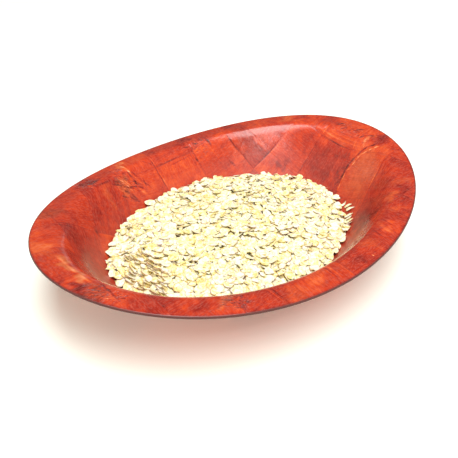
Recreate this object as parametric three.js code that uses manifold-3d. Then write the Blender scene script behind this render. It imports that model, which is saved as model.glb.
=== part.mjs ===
// A bowl of rolled oats: an oval serving bowl pressed from woven wood veneer, and the low heap of
// oat flakes that lies in it. Millimetres, +Z up, the bowl's long axis on X. The origin is the middle
// of the flat underside that the bowl stands on.

import * as THREE from 'three';
import { mergeVertices } from 'three/addons/utils/BufferGeometryUtils.js';
import Module from 'manifold-3d';

const wasm = await Module();
wasm.setup();

const degree = Math.PI / 180;

// The bowl: a flat lip, a bend, a straight wall and a round heel down to a flat floor. Distances run
// inward from the rim along the long axis, and shortAxisShare shrinks them along the short axis.
const bowlSize = {
  length: 304.8,
  width: 225,
  wall: 2.2,
  wallSlope: 52 * degree,
  lipEnds: 13,
  wallBegins: 22,
  wallEnds: 42,
  floorBegins: 80,
  shortAxisShare: 0.8,
  rimRise: 7.3,
  riseFade: 1.5,
};

// The heap: its edge lies on the wall, lower on the near side than on the far one, and its middle
// stands a little higher than its edge.
const heapSize = {
  edgeBelowRim: 36,
  edgeTilt: 4,
  dome: 8,
  domePower: 2.6,
  ripple: 0.7,
  rippleWaves: [
    { count: 5, start: 0.8, share: 1 },
    { count: 9, start: 2.1, share: 0.6 },
  ],
  lump: 1.1,
  lumpPower: 6,
  slowLumps: { x: 17, y: 14, startX: 0.6, startY: -0.4, share: 0.6 },
  quickLumps: { x: 7.3, y: -9.1, acrossX: 11, acrossY: 6.4, startAcross: 1.3, share: 0.4 },
  gap: 0.35,
};

// One flake: a thin irregular oval plate. Sizes are half breadths, longest is the most that one is
// drawn out, and stray and uneven are how far a corner strays round the flake and in or out, as
// shares.
const flakeSize = {
  seed: 20,
  count: 195,
  corners: 6,
  smallest: 3.1,
  largest: 4.3,
  longest: 1.3,
  stray: 0.5,
  uneven: 0.12,
  thickness: 0.8,
  tilt: 32 * degree,
  lift: 0.5,
  clearance: 0.6,
  outermost: 0.99,
  retreat: 0.01,
};

const mesh = {
  around: 56,
  edgeSteps: 4,
  bendRows: 4,
  heelRows: 5,
  mounds: 8,
  profileStep: 0.5,
  halvings: 30,
  weld: 1e-4,
};

const ramp = (value, from, to) => THREE.MathUtils.clamp((value - from) / (to - from), 0, 1);

// Slope of the inner surface: level on the lip, rising over the bend, fading over the heel.
function slopeAt(inward) {
  const { wallSlope, lipEnds, wallBegins, wallEnds, floorBegins } = bowlSize;
  return wallSlope * ramp(inward, lipEnds, wallBegins) * (1 - ramp(inward, wallEnds, floorBegins));
}

// Depth below the rim, the slope's tangent summed from the rim inward.
function dropAt(inward) {
  const steps = Math.max(1, Math.ceil(inward / mesh.profileStep));
  const width = inward / steps;
  let drop = 0;
  for (let i = 0; i < steps; i++) drop += Math.tan(slopeAt((i + 0.5) * width)) * width;
  return drop;
}

const rimHeight = bowlSize.wall + dropAt(bowlSize.floorBegins);

// Half axes of the oval that lies a given distance inward of the rim.
const halfLength = (inward) => bowlSize.length / 2 - inward;
const halfWidth = (inward) => bowlSize.width / 2 - inward * bowlSize.shortAxisShare;

// A point of the bowl: on its inner surface, or `below` it along the profile's normal. The rim rises
// at the ends of the long axis and dips at its sides, and that wave fades down to the floor.
function bowlPoint(inward, turn, below = 0) {
  const slope = slopeAt(inward);
  const side = inward - below * Math.sin(slope);
  const fade = (1 - ramp(inward, 0, bowlSize.floorBegins)) ** bowlSize.riseFade;
  const wave = bowlSize.rimRise * fade * Math.cos(2 * turn);
  const height = rimHeight + wave - dropAt(inward) - below * Math.cos(slope);
  return new THREE.Vector3(halfLength(side) * Math.cos(turn), halfWidth(side) * Math.sin(turn), height);
}

// A closed solid from rings of points, each a function of the turn. The first and last rings are
// closed by fans on points of their own; rings follow each other so that faces point outwards.
function loft(rings, firstMiddle, lastMiddle) {
  const points = [firstMiddle];
  for (const ring of rings) {
    for (let i = 0; i < mesh.around; i++) points.push(ring((i / mesh.around) * 2 * Math.PI));
  }
  points.push(lastMiddle);
  const at = (row, column) => 1 + row * mesh.around + (column % mesh.around);
  const last = points.length - 1;
  const faces = [];
  for (let i = 0; i < mesh.around; i++) {
    faces.push(0, at(0, i), at(0, i + 1));
    for (let row = 0; row < rings.length - 1; row++) {
      faces.push(at(row, i), at(row + 1, i), at(row + 1, i + 1));
      faces.push(at(row, i), at(row + 1, i + 1), at(row, i + 1));
    }
    faces.push(last, at(rings.length - 1, i + 1), at(rings.length - 1, i));
  }
  return shape(points, faces);
}

function shape(points, faces) {
  const geometry = new THREE.BufferGeometry().setFromPoints(points);
  geometry.setIndex(faces);
  return geometry;
}

// Evenly spread values from one number to another, both included.
function spread(from, to, steps) {
  return Array.from({ length: steps + 1 }, (_, i) => from + ((to - from) * i) / steps);
}

// Rows of the inner surface from floor to rim: close together where the profile bends.
function profileRows() {
  const { wall, lipEnds, wallBegins, wallEnds, floorBegins } = bowlSize;
  return [
    ...spread(floorBegins, wallEnds, mesh.heelRows),
    (wallBegins + wallEnds) / 2,
    ...spread(wallBegins, lipEnds, mesh.bendRows),
    wall / 2,
  ];
}

// The inner surface, the rim's half-round edge and the outer surface, closed at floor and foot.
function bowlGeometry() {
  const { wall, floorBegins } = bowlSize;
  const half = wall / 2;
  const rows = profileRows();
  const inner = rows.map((inward) => (turn) => bowlPoint(inward, turn));
  const edge = spread(0, Math.PI, mesh.edgeSteps).slice(1, -1).map((bend) => {
    const inward = half * (1 - Math.sin(bend));
    const below = half * (1 - Math.cos(bend));
    return (turn) => bowlPoint(inward, turn, below);
  });
  const outer = [...rows].reverse().map((inward) => (turn) => bowlPoint(inward, turn, wall));
  const middle = (below) => new THREE.Vector3(0, 0, bowlPoint(floorBegins, 0, below).z);
  return loft([...inner, ...edge, ...outer], middle(0), middle(wall));
}

// The distance inward at which the inner wall passes through a height, found by halving.
function inwardAtHeight(height, turn) {
  let low = bowlSize.wallBegins;
  let high = bowlSize.floorBegins;
  for (let i = 0; i < mesh.halvings; i++) {
    const middle = (low + high) / 2;
    if (bowlPoint(middle, turn, -heapSize.gap).z > height) low = middle;
    else high = middle;
  }
  return low;
}

// Low lumps of the heap, a sum of slow waves in two directions.
function lumps(x, y) {
  const { lump, slowLumps: slow, quickLumps: quick } = heapSize;
  const slowHeight = Math.sin(x / slow.x + slow.startX) * Math.cos(y / slow.y + slow.startY);
  const across = Math.cos(x / quick.acrossX + y / quick.acrossY + quick.startAcross);
  const quickHeight = Math.sin(x / quick.x + y / quick.y) * across;
  return lump * (slow.share * slowHeight + quick.share * quickHeight);
}

// Height of the heap's edge round the wall: tilted towards the far side, with a slow ripple.
function edgeHeight(turn) {
  let ripple = 0;
  for (const wave of heapSize.rippleWaves) {
    ripple += heapSize.ripple * wave.share * Math.sin(wave.count * turn + wave.start);
  }
  return rimHeight - heapSize.edgeBelowRim + heapSize.edgeTilt * Math.sin(turn) + ripple;
}

// The heap's upper surface: straight from its edge to its middle in plan, crowned in height.
function moundPoint(share, turn) {
  const { dome, domePower, lumpPower, gap } = heapSize;
  const rimPoint = bowlPoint(inwardAtHeight(edgeHeight(turn), turn), turn, -gap);
  const x = rimPoint.x * share;
  const y = rimPoint.y * share;
  const base = THREE.MathUtils.lerp(rimHeight - heapSize.edgeBelowRim, rimPoint.z, share);
  const crown = dome * (1 - share ** domePower);
  return new THREE.Vector3(x, y, base + crown + lumps(x, y) * (1 - share ** lumpPower));
}

// The heap without its flakes: the mound above, and below it the bowl's inner surface less a gap.
function coreGeometry() {
  const { floorBegins } = bowlSize;
  const { gap } = heapSize;
  const under = spread(0, 1, mesh.heelRows).map((part) => (turn) => {
    const edge = inwardAtHeight(edgeHeight(turn), turn);
    return bowlPoint(THREE.MathUtils.lerp(floorBegins, edge, part), turn, -gap);
  });
  const top = spread(1, 0, mesh.mounds).slice(1, -1).map((share) => (turn) => moundPoint(share, turn));
  const floor = new THREE.Vector3(0, 0, bowlPoint(floorBegins, 0, -gap).z);
  // from the crown down to the edge, then under the heap to the middle of its underside
  return loft([...top.reverse(), ...under.reverse()], moundPoint(0, 0), floor);
}

// A repeatable stream of numbers from 0 to 1: each state is the last one times a factor plus a step,
// wrapped to 32 bits.
function randomStream(seed) {
  const factor = 1664525;
  const step = 1013904223;
  const range = 2 ** 32;
  let state = seed;
  return () => {
    state = (state * factor + step) % range;
    return state / range;
  };
}

// One flake lying flat on the origin: a ring of corners on each face, and a band round the edge.
function flakeGeometry(random) {
  const { corners, smallest, largest, longest, stray, uneven, thickness } = flakeSize;
  const radius = THREE.MathUtils.lerp(smallest, largest, random());
  const stretch = Math.sqrt(THREE.MathUtils.lerp(1, longest, random()));
  const points = [];
  for (let i = 0; i < corners; i++) {
    const angle = ((i + stray * random()) / corners) * 2 * Math.PI;
    const reach = radius * (1 - uneven + 2 * uneven * random());
    const x = reach * stretch * Math.cos(angle);
    const y = (reach / stretch) * Math.sin(angle);
    points.push(new THREE.Vector3(x, y, thickness / 2), new THREE.Vector3(x, y, -thickness / 2));
  }
  const faces = [];
  for (let i = 0; i < corners; i++) {
    const here = 2 * i;
    const next = 2 * ((i + 1) % corners);
    faces.push(here, here + 1, next + 1, here, next + 1, next);
    if (i > 0 && i < corners - 1) faces.push(0, here, next, 1, next + 1, here + 1);
  }
  return shape(points, faces);
}

// Height of the inner wall under a point of the plan.
function wallHeight(x, y) {
  let low = 0;
  let high = bowlSize.floorBegins;
  for (let i = 0; i < mesh.halvings; i++) {
    const inward = (low + high) / 2;
    const outside = (x / halfLength(inward)) ** 2 + (y / halfWidth(inward)) ** 2 > 1;
    if (outside) high = inward;
    else low = inward;
  }
  const turn = Math.atan2(y / halfWidth(low), x / halfLength(low));
  return bowlPoint(low, turn).z;
}

// True where every corner of a flake lies clear above the wall.
function clearOfWall(geometry) {
  const corners = geometry.getAttribute('position');
  for (let i = 0; i < corners.count; i++) {
    const floor = wallHeight(corners.getX(i), corners.getY(i));
    if (corners.getZ(i) < floor + heapSize.gap + flakeSize.clearance) return false;
  }
  return true;
}

// A flake laid on the mound: spread by the golden angle, tilted at random, and moved inward until it
// clears the wall.
function laidFlake(index, random) {
  const { count, lift, outermost, retreat } = flakeSize;
  const goldenAngle = Math.PI * (3 - Math.sqrt(5));
  const turn = (index * goldenAngle) % (2 * Math.PI);
  const flat = flakeGeometry(random);
  const tilt = flakeSize.tilt * Math.sqrt(random());
  const heading = 2 * Math.PI * random();
  const spin = 2 * Math.PI * random();
  const turned = new THREE.Quaternion().setFromEuler(new THREE.Euler(tilt, 0, heading, 'ZXY'));
  turned.multiply(new THREE.Quaternion().setFromAxisAngle(new THREE.Vector3(0, 0, 1), spin));
  for (let share = Math.sqrt((index + 0.5) / count); share > 0; share -= retreat) {
    const place = moundPoint(Math.min(share, outermost), turn);
    place.z += lift;
    const size = new THREE.Vector3(1, 1, 1);
    const laid = flat.clone().applyMatrix4(new THREE.Matrix4().compose(place, turned, size));
    if (clearOfWall(laid)) return laid;
  }
  return null;
}

// A closed solid for joining, from a geometry's points and faces.
function toSolid(geometry) {
  const bare = geometry.clone();
  bare.deleteAttribute('normal');
  bare.deleteAttribute('uv');
  const merged = mergeVertices(bare, 1e-4);
  const vertProperties = Float32Array.from(merged.getAttribute('position').array);
  const triVerts = Uint32Array.from(merged.getIndex().array);
  return new wasm.Manifold(new wasm.Mesh({ numProp: 3, vertProperties, triVerts }));
}

// A joined solid back as a geometry.
function toGeometry(solid) {
  const { vertProperties, triVerts } = solid.getMesh();
  const geometry = new THREE.BufferGeometry();
  geometry.setAttribute('position', new THREE.BufferAttribute(Float32Array.from(vertProperties), 3));
  geometry.setIndex(Array.from(triVerts));
  return geometry;
}

// The core with every flake fused on. Only the largest body is kept, so loose scraps go and a hollow
// that fusing seals is filled.
function heapGeometry() {
  const random = randomStream(flakeSize.seed);
  let heap = toSolid(coreGeometry());
  for (let i = 0; i < flakeSize.count; i++) {
    const flake = laidFlake(i, random);
    if (flake) heap = heap.add(toSolid(flake));
  }
  const bodies = heap.decompose();
  const largest = bodies.reduce((best, body) => (body.volume() > best.volume() ? body : best));
  return toGeometry(largest);
}

const lacqueredWood = new THREE.MeshStandardMaterial({ color: 0xa8452e, roughness: 0.3, metalness: 0 });
const oatFlake = new THREE.MeshStandardMaterial({ color: 0xf0e2b4, roughness: 0.85, metalness: 0 });

function named(name, geometry, material) {
  const piece = new THREE.Mesh(geometry, material);
  piece.name = name;
  return piece;
}

const part = new THREE.Group();
part.add(named('bowl', bowlGeometry(), lacqueredWood));
part.add(named('oats', heapGeometry(), oatFlake));

export default part;
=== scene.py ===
import math

import bpy
import numpy as np
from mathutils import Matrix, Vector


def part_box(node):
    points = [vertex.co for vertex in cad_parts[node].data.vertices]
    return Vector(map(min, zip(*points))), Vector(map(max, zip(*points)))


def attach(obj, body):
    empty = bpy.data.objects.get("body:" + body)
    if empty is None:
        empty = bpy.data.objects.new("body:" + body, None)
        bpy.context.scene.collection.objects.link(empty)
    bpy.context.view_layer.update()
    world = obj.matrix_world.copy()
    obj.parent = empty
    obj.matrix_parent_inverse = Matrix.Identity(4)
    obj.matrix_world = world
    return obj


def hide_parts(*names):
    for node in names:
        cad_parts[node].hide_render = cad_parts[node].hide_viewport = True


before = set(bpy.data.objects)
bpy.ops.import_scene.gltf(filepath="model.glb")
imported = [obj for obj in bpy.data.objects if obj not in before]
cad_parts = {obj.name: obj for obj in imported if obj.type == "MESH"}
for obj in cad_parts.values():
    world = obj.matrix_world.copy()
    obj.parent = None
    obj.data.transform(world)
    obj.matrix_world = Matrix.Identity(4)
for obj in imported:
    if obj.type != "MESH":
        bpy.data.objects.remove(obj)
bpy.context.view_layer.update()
print("frame loaded")


# The bowl is seen from in front of its left end, from above.
view = {
    "place": (-0.2570, -0.2668, 0.2730),  # metres from the middle of the bowl's foot
    "turn": 42.99,  # degrees from +Y towards +X
    "down": 34.25,  # degrees below level
    "lens": 46.77,  # mm
    "sensor": 36,  # mm across
    "nearest": 0.01,  # metres
}


def makeCamera():
    # stands at its place, turned from +Y towards +X and then tipped down
    cameraData = bpy.data.cameras.new("camera")
    cameraData.sensor_width = view["sensor"]
    cameraData.lens = view["lens"]
    cameraData.clip_start = view["nearest"]
    camera = bpy.data.objects.new("camera", cameraData)
    camera.location = view["place"]
    camera.rotation_euler = (math.radians(90 - view["down"]), 0, math.radians(-view["turn"]))
    bpy.context.scene.collection.objects.link(camera)
    bpy.context.scene.camera = camera


makeCamera()


def ramp(value, start, end):
    # 0 before start, 1 after end, straight between
    return np.clip((value - start) / (end - start), 0, 1)


def smooth(value, start, end):
    # as ramp, eased at both ends by 3t2 - 2t3
    part = ramp(value, start, end)
    return part * part * (3 - 2 * part)


def gridFaces(rows, columns):
    # quads between neighbouring rings of a grid whose last column joins the first
    row, column = np.meshgrid(np.arange(rows - 1), np.arange(columns), indexing="ij")
    beside = (column + 1) % columns
    corners = [row * columns + column, (row + 1) * columns + column,
               (row + 1) * columns + beside, row * columns + beside]
    return np.stack(corners, -1).reshape(-1, 4)


def fanFaces(ring, tip, upward):
    # triangles from one point to each edge of a ring of points
    beside = np.roll(ring, -1)
    order = (ring, beside) if upward else (beside, ring)
    return np.stack([np.full(len(ring), tip), *order], -1)


def capFaces(rows, columns):
    # fans that close the first and the last ring of a grid, their middles numbered after its points
    ring, count = np.arange(columns), rows * columns
    return np.concatenate([fanFaces(ring, count, True), fanFaces(count - columns + ring, count + 1, False)])


def makeMesh(name, points, quads, triangles):
    # one mesh from arrays of points, four-cornered faces and three-cornered faces
    mesh = bpy.data.meshes.new(name)
    loops = np.concatenate([quads.ravel(), triangles.ravel()]).astype(np.int32)
    sides = np.concatenate([np.full(len(quads), 4), np.full(len(triangles), 3)])
    starts = np.concatenate([[0], np.cumsum(sides)[:-1]]).astype(np.int32)
    mesh.vertices.add(len(points))
    mesh.vertices.foreach_set("co", points.astype(np.float32).ravel())
    mesh.loops.add(len(loops))
    mesh.loops.foreach_set("vertex_index", loops)
    mesh.polygons.add(len(sides))
    mesh.polygons.foreach_set("loop_start", starts)
    mesh.update(calc_edges=True)
    mesh.shade_smooth()
    piece = bpy.data.objects.new(name, mesh)
    bpy.context.scene.collection.objects.link(piece)
    return piece


def addMap(piece, name, across, up):
    # a UV map from two values for each point
    corners = np.empty(len(piece.data.loops), np.int32)
    piece.data.loops.foreach_get("vertex_index", corners)
    places = np.stack([across[corners], up[corners]], -1).astype(np.float32)
    piece.data.uv_layers.new(name=name).data.foreach_set("uv", places.ravel())


def addValues(piece, name, values):
    # a number for each point, which a material reads as an attribute
    layer = piece.data.attributes.new(name, "FLOAT", "POINT")
    layer.data.foreach_set("value", values.astype(np.float32).ravel())


bowl = {
    "wall": 0.0022,  # thickness of the pressed veneer
    "wallSlope": 52,  # degrees
    "lipEnds": 0.0130,  # distances inward from the rim, along the long axis
    "wallBegins": 0.0232,
    "wallEnds": 0.0431,
    "heel": 0.052,
    "floorBegins": 0.080,
    "shortAxisShare": 0.8,  # the same distances along the short axis, as a share
    "sideSwell": 0.0026,  # how much further in the bend lies at the sides
    "swellGrows": (0.001, 0.014),
    "swellFades": (0.030, 0.070),
    "rimRise": 0.0073,  # how far the rim rises at the ends and dips at the sides
    "riseFade": 1.5,
    "rimLine": 0.0024,  # the lip is darker over this distance from its edge
    "dust": (0.027, 0.040),  # oat dust dulls the lacquer, growing between these distances
    "profileSteps": 1600,
    "columns": 640,
    "floorShares": (0.25, 0.5, 0.75),  # rings on the floor, as shares of its size
    "rings": (7, 42, 14, 12),  # from the floor to the heel, up the wall, round the bend, over the lip
    "edgeRings": 7,  # round the rim's edge
    "fineRings": 20,  # outside, every second ring is left out except for these next to the rim
    "halvings": 24,  # steps of the search for the ring over which a point lies
}

# Places over the wood are millimetres from the middle of the floor, measured along the surface.
weave = {
    "lengthwiseEdges": [-190, -137, -97, -53, -8, 38, 80, 102, 145, 195],
    "crosswiseEdges": [-150, -96, -52, -9, 28, 60, 107, 150],
    "stripWidth": 42,
    "wander": 0.7,  # how far a strip's edge strays from a straight line
    # its waves: their length across the strip and along it, the length of quicker ones, their start
    "waves": {"lengthwiseEdges": (13, 90, 4.7, 1), "crosswiseEdges": (15, -70, 5.3, 2)},
    "crown": 0.10,  # how far a strip stands up between the places where it dives under
    "dive": 6,  # length over which it dives
    "unevenness": 0.20,  # slow waves left by pressing
    "plyStep": 0.30,  # the ragged end of a top ply at the right-hand end
    "plyEdge": (-0.4, 0.7),
    "plyStarts": (96, 102),
    "plyStops": (153, 157),
    "plyLow": (-60, -50),
    "startsIn": (0.001, 0.005),  # metres from the rim over which the relief starts
    "footFade": (0.060, 0.072),  # and over which it ends outside, towards the foot
    "outsideShift": (20, 31),  # the outside has the same relief, moved by this
}

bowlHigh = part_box("bowl")[1]
bowlHalfLength, bowlHalfWidth = bowlHigh[0], bowlHigh[1]
mm = 0.001


def slopeAt(inward):
    # level on the lip, rising over the bend to the wall's slope, fading to level over the heel
    rise = ramp(inward, bowl["lipEnds"], bowl["wallBegins"])
    fall = 1 - ramp(inward, bowl["wallEnds"], bowl["floorBegins"])
    return np.radians(bowl["wallSlope"]) * rise * fall


def profileTable():
    # the height lost from the rim inward, as the running sum of the slope's tangent
    inward = np.linspace(0, bowl["floorBegins"], bowl["profileSteps"] + 1)
    tangent = np.tan(slopeAt(inward))
    steps = (tangent[1:] + tangent[:-1]) / 2 * np.diff(inward)
    return inward, np.concatenate([[0], np.cumsum(steps)])


profileInward, profileDrop = profileTable()
rimHeight = bowl["wall"] + profileDrop[-1]


def halfWidthAt(inward):
    # half the width of the ring that lies a distance inward: a share of that distance less than the
    # rim's, and a little less again round the bend
    swell = smooth(inward, *bowl["swellGrows"]) * (1 - smooth(inward, *bowl["swellFades"]))
    return bowlHalfWidth - inward * bowl["shortAxisShare"] - bowl["sideSwell"] * swell


def bowlPoint(inward, turn, below=0):
    # an oval that shrinks inward, its height the rim's wave less the profile's drop, then moved
    # below the inner surface along the profile's normal
    slope = slopeAt(inward)
    side = inward - below * np.sin(slope)
    fade = (1 - ramp(inward, 0, bowl["floorBegins"])) ** bowl["riseFade"]
    wave = bowl["rimRise"] * fade * np.cos(2 * turn)
    x = (bowlHalfLength - side) * np.cos(turn)
    y = (halfWidthAt(inward) + (inward - side) * bowl["shortAxisShare"]) * np.sin(turn)
    z = rimHeight + wave - np.interp(inward, profileInward, profileDrop) - below * np.cos(slope)
    return np.stack(np.broadcast_arrays(x, y, z), -1)


def floorPoint(share, turn, below=0):
    # the level oval of the floor, shrunk towards its middle
    edge = bowlPoint(np.full_like(turn, bowl["floorBegins"]), turn, below)
    return edge * np.array([share, share, 1])


def stripPlaces(u, v):
    # counts the strips both ways, whole numbers falling on their slightly wandering edges
    def count(along, across, name):
        slowAcross, slowAlong, quick, start = weave["waves"][name]
        stray = np.sin(across / slowAcross + along / slowAlong) + 0.5 * np.sin(across / quick + start)
        return np.interp(along + weave["wander"] * stray, weave[name], np.arange(len(weave[name])))

    return count(u, v, "lengthwiseEdges"), count(v, u, "crosswiseEdges")


# The ragged end of the top ply, from the heap's edge to the lip.
plyEnd = [(100, -15), (108, -14.2), (117, -13.6), (126, -13.8), (130.5, -16.7), (137.5, -19),
          (142.5, -21.5), (147, -27.5), (149.6, -32), (153, -36.5), (155, -44)]


def plyShare(u, v):
    # 1 on the top ply that ends raggedly, 0 beyond its end
    ends = np.array(plyEnd)
    ragged = 0.5 * np.sin(u / 0.9) + 0.4 * np.sin(u / 0.37 + 1)
    end = np.interp(u, ends[:, 0], ends[:, 1]) + ragged
    share = smooth(end - v, *weave["plyEdge"]) * smooth(u, *weave["plyStarts"])
    return share * (1 - smooth(u, *weave["plyStops"])) * smooth(v, *weave["plyLow"])


def wovenHeight(u, v):
    # each strip stands up where it lies on top and sinks where it dives under its neighbour; slow
    # waves of the pressing are added
    countU, countV = stripPlaces(u, v)
    standing = (np.floor(countU) + np.floor(countV)) % 2 > 0.5
    toEdgeU = np.abs(countU - np.round(countU)) * weave["stripWidth"]
    toEdgeV = np.abs(countV - np.round(countV)) * weave["stripWidth"]
    toDive = np.where(standing, toEdgeV, toEdgeU)
    slow = np.sin(u / 21 + 1.3 * np.sin(v / 17)) * np.cos(v / 19 + 0.7 * np.sin(u / 13))
    return weave["crown"] * smooth(toDive, 0, weave["dive"]) + weave["unevenness"] * slow


def surfaceTravel(rings):
    # for each point of the rings, its place over the wood: the distance travelled along the
    # surface from the middle, in the direction in which the point lies
    first = np.linalg.norm(rings[0, :, :2], axis=-1)
    steps = np.linalg.norm(np.diff(rings, axis=0), axis=-1)
    travel = np.concatenate([first[None], first + np.cumsum(steps, 0)])
    heading = rings[..., :2] / np.linalg.norm(rings[..., :2], axis=-1, keepdims=True)
    return heading * travel[..., None] / mm


def bowlGrid():
    # rings from the middle of the floor up the inner surface, round the rim's edge and down the
    # outer surface to the middle of the foot, with their places over the wood; also for each ring
    # how far it lies through the wall, how near the rim's edge and how dusty it is
    turn = np.linspace(0, 2 * np.pi, bowl["columns"], endpoint=False)
    half = bowl["wall"] / 2
    stops = [*(bowl[name] for name in ("floorBegins", "heel", "wallBegins", "lipEnds")), half]
    inwardRows = [np.linspace(start, end, count, endpoint=False)
                  for start, end, count in zip(stops, stops[1:], bowl["rings"])]
    inwardRows = np.concatenate([*inwardRows, [half]])

    def surface(below):
        rings = [floorPoint(share, turn, below) for share in bowl["floorShares"]]
        rings += [bowlPoint(np.full_like(turn, row), turn, below) for row in inwardRows]
        return np.array(rings)

    inner, outer = surface(0), surface(bowl["wall"])
    place = surfaceTravel(inner)
    rowInward = np.concatenate([np.full(len(bowl["floorShares"]), bowl["floorBegins"]), inwardRows])
    slope = slopeAt(rowInward)[:, None]
    normal = np.stack(np.broadcast_arrays(-np.sin(slope) * np.cos(turn), -np.sin(slope) * np.sin(turn),
                                          np.cos(slope)), -1)
    fromRim = smooth(rowInward, *weave["startsIn"])[:, None]
    u, v = place[..., 0], place[..., 1]
    lift = (wovenHeight(u, v) + weave["plyStep"] * plyShare(u, v)) * fromRim
    inner = inner + normal * (lift * mm)[..., None]
    footFade = 1 - smooth(rowInward, *weave["footFade"])[:, None]
    sink = wovenHeight(u + weave["outsideShift"][0], v + weave["outsideShift"][1]) * fromRim * footFade
    outer = outer - normal * (sink * mm)[..., None]

    angles = np.linspace(0, np.pi, bowl["edgeRings"] + 2)[1:-1]
    inwardBelow = zip(half * (1 - np.sin(angles)), half * (1 - np.cos(angles)))
    edge = np.array([bowlPoint(np.full_like(turn, inward), turn, below) for inward, below in inwardBelow])
    heading = place[-1] / np.linalg.norm(place[-1], axis=-1, keepdims=True)
    edgePlace = np.array([place[-1] + heading * half * angle / mm for angle in angles])

    rows = np.arange(len(rowInward))
    keep = np.concatenate([rows[:-bowl["fineRings"]:2], rows[-bowl["fineRings"]:]])[::-1]
    points = np.concatenate([inner, edge, outer[keep]])
    places = np.concatenate([place, edgePlace, place[keep]])
    through = np.concatenate([0 * rows, (1 - np.cos(angles)) / 2, np.ones(len(keep))])
    nearRim = 1 - smooth(rowInward, half, bowl["rimLine"])
    nearRim = np.concatenate([nearRim, np.ones(len(angles)), nearRim[keep]])
    dusty = np.concatenate([smooth(rowInward, *bowl["dust"]), np.zeros(len(angles) + len(keep))])
    return points, places, np.array([through, nearRim, dusty])


# Stains in the wood, and one painted reflection: ovals, each its middle, its half sizes and its turn in
# degrees, then how much darker or lighter it is and how far it goes to tan.
stainsAndPaintedReflection = [
    (125, 10, 20, 17, 0, -0.2, 0), (139, -3, 7, 6, 0, -0.12, 0), (133, 34, 12, 10, 0, -0.16, 0),
    (120, -9, 22, 4, 0, -0.16, 0), (157, 5, 10, 24, 0, -0.06, 0.05), (149, 5, 4, 24, 0, 0.04, 0.15),
    (122, 44, 26, 13, 0, -0.08, 0), (103, 44, 13, 3, -4, -0.16, 0), (-164, -34, 9, 12, 25, -0.22, 0),
    (96, 84, 26, 20, 0, -0.02, 0.1), (128, -34, 25, 18, 0, 0.02, 0.36), (112, -46, 14, 8, 0, -0.06, 0.2),
    (162, -30, 9, 9, 0, -0.26, 0), (157, -20, 6, 3, -20, 0.14, 0.4), (80, -73, 13, 17, 0, -0.22, 0),
    (96, -74, 5, 18, 0, -0.08, 0.15), (97, -92, 8, 5, 30, 0.1, 0.3), (114, -66, 4, 14, -10, -0.06, 0.15),
    (12, 96, 20, 10, 0, 0.06, 0), (-24, 102, 14, 12, 0, 0.02, 0), (-50, 98, 9, 7, 0, 0.02, 0.45),
    (-40, 122, 3.5, 8, -30, 0.16, 0.4), (-57, 104, 6, 5, 0, -0.12, 0), (-82, 109, 7, 6, 20, -0.26, 0),
    (-71, 91, 4, 13, 0, 0.06, 0.3), (-105, 84, 24, 22, 0, -0.08, 0), (-138, 34, 20, 34, 0, -0.1, 0),
    (-135, 77, 9, 12, 40, -0.14, 0.25), (-165, 34, 6, 30, 8, 0.03, 0.25), (-120, 30, 14, 20, 0, -0.04, 0),
    (-168.5, -20, 4.5, 7, 20, -0.3, 0), (-161, -38, 6, 12, 25, 0, 0.2), (-139, -66, 16, 12, -45, -0.16, 0),
    (-119, -87, 7, 6, -30, -0.14, 0), (-102, -95, 5, 5, 0, 0.1, 0.5), (-86, -103, 11, 6, -25, -0.02, 0),
    (-57, -120, 14, 7, -15, 0.06, 0.2), (-34, -118, 9, 6, -10, 0.1, 0.2), (-6, -121, 10, 7, 0, -0.02, 0.1),
    (12, -122, 6, 7, 0, -0.12, 0), (30, -119, 7, 7, 10, 0.06, 0.2), (47, -117, 4.5, 8, 15, -0.06, 0),
    (56, -115, 3.5, 8, 15, 0.12, 0.2), (66, -112, 5, 9, 20, -0.06, 0), (83, -104, 3.5, 9, 25, 0.12, 0.2),
    (93, -100, 5, 8, 30, -0.1, 0), (119, -84, 6, 9, 40, 0.04, 0.2), (142, -66, 10, 9, 45, -0.06, 0),
    (38, 122, 9, 6, 0, -0.2, 0), (88, 112, 6, 5, -30, -0.18, 0), (152, 60, 6, 11, 25, -0.16, 0),
    (139, 70, 6, 9, 30, 0.06, 0.4), (60, 86, 9, 12, 0, -0.04, 0), (56, -119, 14, 6, 10, 0.14, 0),
    # painted reflection: the first oval on the next line, a pale tan streak along the bend at the left end
    (-160.8, -4, 2.8, 26, 0, 0.06, 0.9), (-150, 0, 6, 26, 0, -0.1, 0), (-118, 52, 24, 22, 0, -0.07, 0),
    (68, -84, 16, 9, 20, -0.14, 0), (-24, -116, 16, 7, -8, 0.05, 0.1), (164, 30, 7, 14, 10, -0.1, 0),
    (108, -96, 10, 7, 30, -0.12, 0), (160, -48, 7, 9, 15, -0.08, 0),
]

# The ovals in which short fibres were torn out.
tornPlaces = [
    (-46, 100, 15, 17, 0), (48, 108, 13, 9, 0), (162, 8, 7, 22, 0), (-159, -40, 8, 18, 25),
    (-84, 104, 10, 9, 0), (156, -20, 8, 6, 0), (-95, -100, 14, 7, -30), (112, -10, 20, 4, 0),
    (130, -120, 30, 30, 0), (-20, -95, 14, 9, 0),
]

marks = {
    "stainFade": (0.5, 1.3),  # shares of an oval's radius between which a stain fades
    "tearFade": (0.4, 1.2),
    "rimStain": -0.15,
}


def strayed(u, v):
    # places moved a few millimetres by waves of waves, so that an oval's outline becomes uneven
    moveU = 2.4 * np.sin(v / 3.4 + 1.7 * np.sin(u / 5.3)) + 1.3 * np.sin(v / 1.4 + u / 2.3)
    moveV = 2.4 * np.sin(u / 3.9 + 1.9 * np.sin(v / 4.6)) + 1.3 * np.sin(u / 1.5 - v / 2.0)
    return u + moveU, v + moveV


def inOval(u, v, oval, start, end):
    # 1 well inside a turned oval, fading to 0 between two shares of its radius
    middleU, middleV, halfAcross, halfUp, turn = oval
    angle = math.radians(turn)
    du, dv = u - middleU, v - middleV
    across = (du * math.cos(angle) + dv * math.sin(angle)) / halfAcross
    up = (-du * math.sin(angle) + dv * math.cos(angle)) / halfUp
    return 1 - smooth(np.hypot(across, up), start, end)


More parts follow.
